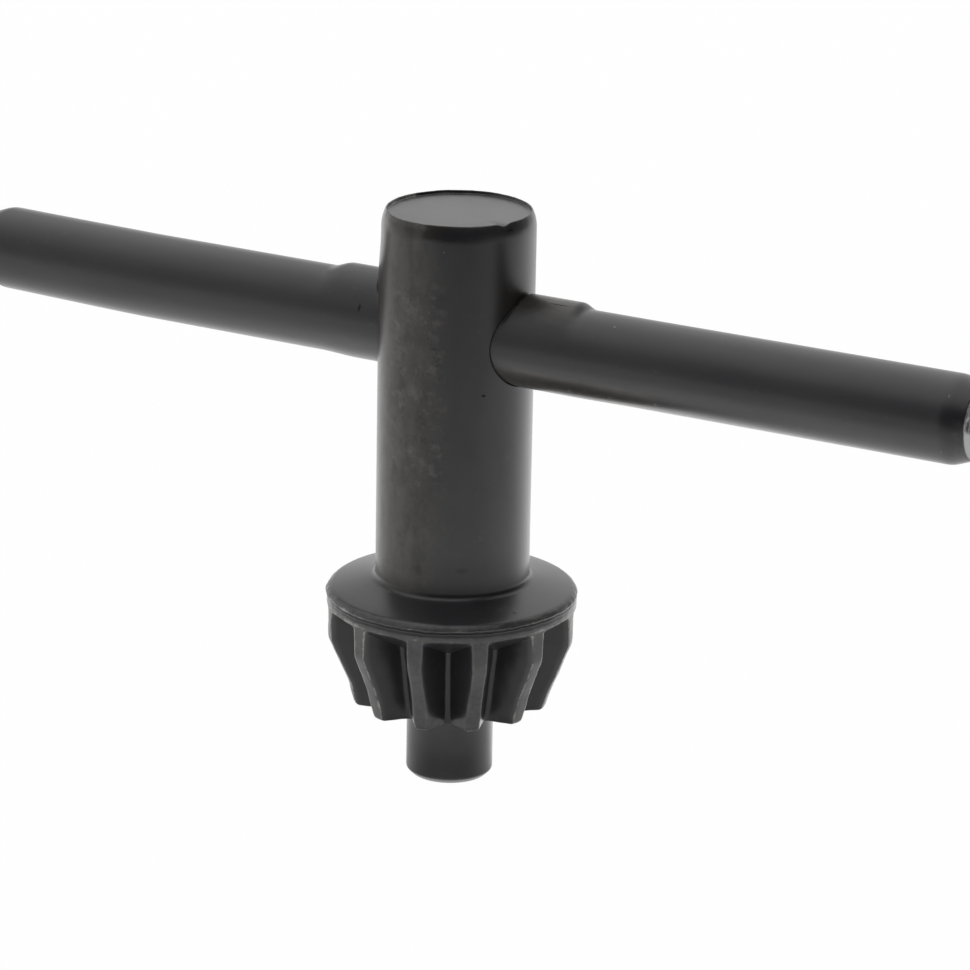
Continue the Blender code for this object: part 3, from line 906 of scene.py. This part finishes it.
def black_steel(name, cool, warm, grain_stretch, marks_and_shade):
    """Oil-blacked steel: nearly black, with a satin sheen, patina, worn edges and small marks, and
    painted light, glints and shade.
    """
    material, tree = new_material(name)
    place = add(tree, 'ShaderNodeTexCoord').outputs['Object']
    drawn = stretched(tree, place, grain_stretch)
    tone = noise_at(tree, drawn, 420.0, 3.0)
    mottle = noise_at(tree, drawn, 1100.0, 4.0, 0.65)
    # Patina; on the bar's underside partly painted light
    patina_and_painted_light = attribute(tree, "patina_and_painted_light")
    scuffs = attribute(tree, "scuffs")
    bare = attribute(tree, "bare")
    torn = attribute(tree, "torn")
    light_mark = mark_share(tree, place, marks_and_shade, 1)
    dark_mark_and_shade = mark_share(tree, place, marks_and_shade, -1)

    # Blacked colour with its patina, scuffs, worn edges and marks, with painted light, glints and
    # shade among them
    mottled = math_of(tree, 'MULTIPLY', patina_and_painted_light, remap(tree, mottle, 0.35, 0.65, 0.5, 1.5))
    colour = blend(tree, mottled, cool, warm)
    flecks = remap(tree, noise_at(tree, place, 1000.0, 5.0, 0.7), 0.5, 0.7, 0, 0.9)
    colour = blend(tree, math_of(tree, 'MULTIPLY', scuffs, flecks), colour, FLECK_COLOUR)
    smears = remap(tree, noise_at(tree, place, 800.0, 4.0, 0.65), 0.34, 0.45, 0.6, 0)
    colour = blend(tree, math_of(tree, 'MULTIPLY', scuffs, smears), colour, DARK_MARK_AND_SHADE_COLOUR)
    flaking = noise_at(tree, stretched(tree, place, (1, 1, 1.25)), 700.0, 5.0, 0.7)
    wear_and_glint_level = math_of(tree, 'MULTIPLY_ADD', remap(tree, flaking, 0.3, 0.7, -1, 1), 0.42,
                   attribute(tree, "wear_and_glint"))
    wear_and_glint = remap(tree, wear_and_glint_level, 0.25, 0.95, 0, 1)
    colour = blend(tree, wear_and_glint, colour, WORN_COLOUR)
    # Flaked bare steel, and a painted glint where the wear share runs past 1
    colour = blend(tree, remap(tree, wear_and_glint_level, 1.0, 1.35, 0, 1), colour, FLAKED_GLINT_COLOUR)
    colour = blend(tree, light_mark, colour, LIGHT_MARK_COLOUR)
    colour = blend(tree, dark_mark_and_shade, colour, DARK_MARK_AND_SHADE_COLOUR)

    # Bare steel of the sheared ends
    crystals = remap(tree, noise_at(tree, place, 2400.0, 5.0, 0.7), 0.42, 0.62, 1, 0)
    steel = blend(tree, torn, SHEARED_COLOUR, TORN_COLOUR)
    steel = blend(tree, math_of(tree, 'MULTIPLY', torn, crystals), steel, TORN_DARK_COLOUR)

    # Shine, which is uneven with the patina and dimmed by the painted shade
    shine = math_of(tree, 'MULTIPLY_ADD', tone, 0.1, remap(tree, wear_and_glint, 0, 1, 0.27, 0.34))
    sheen = math_of(tree, 'MULTIPLY_ADD', patina_and_painted_light, remap(tree, mottle, 0.35, 0.65, -0.16, 0.16), 1.0)
    sheen = math_of(tree, 'MULTIPLY', sheen, remap(tree, tone, 0.3, 0.7, 0.92, 1.08))
    # This share is painted shade: it dims the reflection in hollows, below the rim and beside the
    # bar
    sheen = math_of(tree, 'MULTIPLY', sheen, remap(tree, attribute(tree, "painted_shade"), 0, 1, 1.0, 0.4))
    marked = remap(tree, dark_mark_and_shade, 0, 1, 0.5, 0.12)
    grain = noise_at(tree, place, 3200.0, 3.0)
    bump = add(tree, 'ShaderNodeBump', {'Height': math_of(tree, 'SUBTRACT', grain, dark_mark_and_shade),
                                        'Strength': BUMP_STRENGTH, 'Distance': BUMP_DEPTH * MM})
    shader = add(tree, 'ShaderNodeBsdfPrincipled', {
        'Base Color': blend(tree, bare, colour, steel),
        'Metallic': math_of(tree, 'MULTIPLY', bare, 0.75),
        'Roughness': math_of(tree, 'MULTIPLY_ADD', bare, 0.12, shine),
        'Specular IOR Level': math_of(tree, 'MULTIPLY', marked, sheen),
        'IOR': FINISH_IOR,
        'Normal': bump.outputs['Normal'],
    })
    output = add(tree, 'ShaderNodeOutputMaterial')
    tree.links.new(shader.outputs['BSDF'], output.inputs['Surface'])
    return material


# Studio

def glow_material():
    """Cloth that shines as bright as its mesh's glow attribute."""
    material, tree = new_material("tent_cloth")
    lit = add(tree, 'ShaderNodeEmission', {'Strength': attribute(tree, "glow")})
    output = add(tree, 'ShaderNodeOutputMaterial')
    tree.links.new(lit.outputs['Emission'], output.inputs['Surface'])
    return material


def tent_glow(azimuth, elevation):
    """Brightness of the light tent; azimuth in degrees from the camera, positive to its right."""
    low = along_curve(TENT_GLOW, azimuth)
    share, middle, spread = DIM_BAND
    low *= 1 - share * math.exp(-((elevation - middle) / spread) ** 2)
    share, middle, spread = DIM_CORNER
    low_start, low_end, high_start, high_end = DIM_CORNER_RISE
    from_middle = (azimuth - middle + 180) % 360 - 180
    in_corner = smooth_step(low_start, low_end, elevation) * (
        1 - smooth_step(high_start, high_end, elevation))
    low *= 1 - share * math.exp(-(from_middle / spread) ** 2) * in_corner
    return mix(low, ZENITH_GLOW, along_curve(TENT_RISE, elevation))


def floor_glow(azimuth, distance):
    """Brightness of the floor as reflections see it; distance in millimetres."""
    front = along_curve(FLOOR_FRONT, distance)
    if azimuth > 0:
        side = along_curve(FLOOR_RIGHT, azimuth) * (1 - 0.25 * smooth_step(75, 130, distance))
    else:
        side = along_curve(FLOOR_LEFT, -azimuth)
    far = mix(front, side, smooth_step(15, 48, abs(azimuth)))
    shadow = mix(along_curve(OWN_SHADOW, distance), 1, smooth_step(20, 100, abs(azimuth)))
    return shadow * mix(far, max(far, NEAR_GLOW), along_curve(NEAR_SHARE, distance))


def studio_azimuth(point):
    """Degrees round from the camera, positive to the right as the camera sees it."""
    turn = math.degrees(math.atan2(point[1], point[0]) - CAMERA_AZIMUTH)
    return (turn + 180) % 360 - 180


def reflected_only(name, points, faces, glow, material, lights_surfaces):
    """Stage object that no camera sees: it shows in reflections, and may light surfaces too."""
    mesh = bpy.data.meshes.new(name)
    mesh.from_pydata(points, [], faces)
    mesh.attributes.new("glow", 'FLOAT', 'POINT').data.foreach_set("value", glow)
    mesh.materials.append(material)
    obj = bpy.data.objects.new(name, mesh)
    bpy.context.collection.objects.link(obj)
    obj.visible_camera = False
    obj.visible_diffuse = lights_surfaces
    obj.visible_shadow = False
    obj.visible_transmission = False


def make_tent(material):
    """A dome of cloth that only reflections see, with its dark opening round the camera."""
    columns = 180
    levels = [-6, -3, 0] + list(range(3, 90, 3))
    points = []
    glow = []
    for elevation in levels:
        for column in range(columns):
            azimuth = CAMERA_AZIMUTH + 2 * math.pi * column / columns
            level = math.radians(elevation)
            point = Vector((math.cos(azimuth) * math.cos(level),
                            math.sin(azimuth) * math.cos(level), math.sin(level)))
            points.append(point * TENT_RADIUS * MM)
            glow.append(tent_glow(studio_azimuth(point), elevation))
    top = len(points)
    points.append(Vector((0, 0, TENT_RADIUS * MM)))
    glow.append(1.0)
    faces = grid_faces(len(levels), columns)
    for column in range(columns):
        faces.append((top - columns + column, top - columns + (column + 1) % columns, top))
    reflected_only("light_tent", points, faces, glow, material, True)


def make_floor_card(material):
    """Graded card on the floor that only reflections see."""
    columns = 120
    points = []
    glow = []
    for radius in CARD_RINGS:
        for column in range(columns):
            azimuth = CAMERA_AZIMUTH + 2 * math.pi * column / columns
            point = Vector((math.cos(azimuth), math.sin(azimuth), 0))
            points.append(point * radius * MM + Vector((0, 0, CARD_RISE * MM)))
            glow.append(floor_glow(studio_azimuth(point), radius))
    faces = grid_faces(len(CARD_RINGS), columns)
    reflected_only("floor_card", points, faces, glow, material, False)


def seen_directly(tree):
    """1 for camera, glossy and transmission rays."""
    path = add(tree, 'ShaderNodeLightPath')
    seen = math_of(tree, 'MAXIMUM', path.outputs['Is Camera Ray'], path.outputs['Is Glossy Ray'])
    return math_of(tree, 'MAXIMUM', seen, path.outputs['Is Transmission Ray'])


def make_floor():
    """White floor that keeps a faint shadow of the key."""
    half = FLOOR_HALF_SIZE * MM
    mesh = bpy.data.meshes.new("floor")
    mesh.from_pydata([(-half, -half, 0), (half, -half, 0), (half, half, 0), (-half, half, 0)],
                     [], [(0, 1, 2, 3)])
    material, tree = new_material("white_floor")
    cloth = add(tree, 'ShaderNodeBsdfDiffuse', {'Color': (0.9, 0.9, 0.9, 1)})
    lit = add(tree, 'ShaderNodeEmission', {'Strength': 1.0})
    share = math_of(tree, 'MULTIPLY', seen_directly(tree), FLOOR_WHITE_SHARE)
    both = add(tree, 'ShaderNodeMixShader', {0: share})
    tree.links.new(cloth.outputs['BSDF'], both.inputs[1])
    tree.links.new(lit.outputs['Emission'], both.inputs[2])
    output = add(tree, 'ShaderNodeOutputMaterial')
    tree.links.new(both.outputs['Shader'], output.inputs['Surface'])
    mesh.materials.append(material)
    floor = bpy.data.objects.new("floor", mesh)
    bpy.context.collection.objects.link(floor)


def make_world():
    """White surroundings, a little dimmer as light than they look."""
    world = bpy.data.worlds.new("studio")
    bpy.context.scene.world = world
    world.use_nodes = True
    tree = world.node_tree
    tree.nodes.clear()
    strength = remap(tree, seen_directly(tree), 0, 1, WORLD_LIGHT, 1.0)
    light = add(tree, 'ShaderNodeBackground', {'Color': (1, 1, 1, 1), 'Strength': strength})
    output = add(tree, 'ShaderNodeOutputWorld')
    tree.links.new(light.outputs['Background'], output.inputs['Surface'])


def make_camera():
    """The photograph's view."""
    yaw, pitch = CAMERA_YAW, CAMERA_PITCH
    forward = Vector((-math.sin(yaw) * math.cos(pitch), math.cos(yaw) * math.cos(pitch),
                      math.sin(pitch)))
    level = Vector((math.cos(yaw), math.sin(yaw), 0))
    above = level.cross(forward)
    right = level * math.cos(CAMERA_ROLL) + above * math.sin(CAMERA_ROLL)
    up = above * math.cos(CAMERA_ROLL) - level * math.sin(CAMERA_ROLL)
    data = bpy.data.cameras.new("camera")
    data.lens = CAMERA_LENS
    data.clip_start = 0.01
    data.clip_end = 10
    camera = bpy.data.objects.new("camera", data)
    camera.matrix_world = Matrix.Translation(CAMERA_PLACE * MM) @ Matrix(
        (right, up, -forward)).transposed().to_4x4()
    bpy.context.collection.objects.link(camera)
    bpy.context.scene.camera = camera


def dress(piece, node, material):
    """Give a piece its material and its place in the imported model."""
    piece.data.materials.append(material)
    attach(piece, "root")
    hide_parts(node)


make_camera()
make_world()
make_floor()
tent_cloth = glow_material()
make_tent(tent_cloth)
make_floor_card(tent_cloth)
body = make_body()
bar = make_bar()
dress(body, "key_body",
      black_steel("blacked_body", BODY_BLACK, BODY_PATINA, BODY_GRAIN, BODY_MARKS))
dress(bar, "cross_bar",
      black_steel("blacked_bar", BAR_BLACK, BAR_PATINA_AND_LIGHT, BAR_GRAIN, BAR_MARKS_AND_SHADE))

bpy.context.scene.view_settings.view_transform = 'Standard'
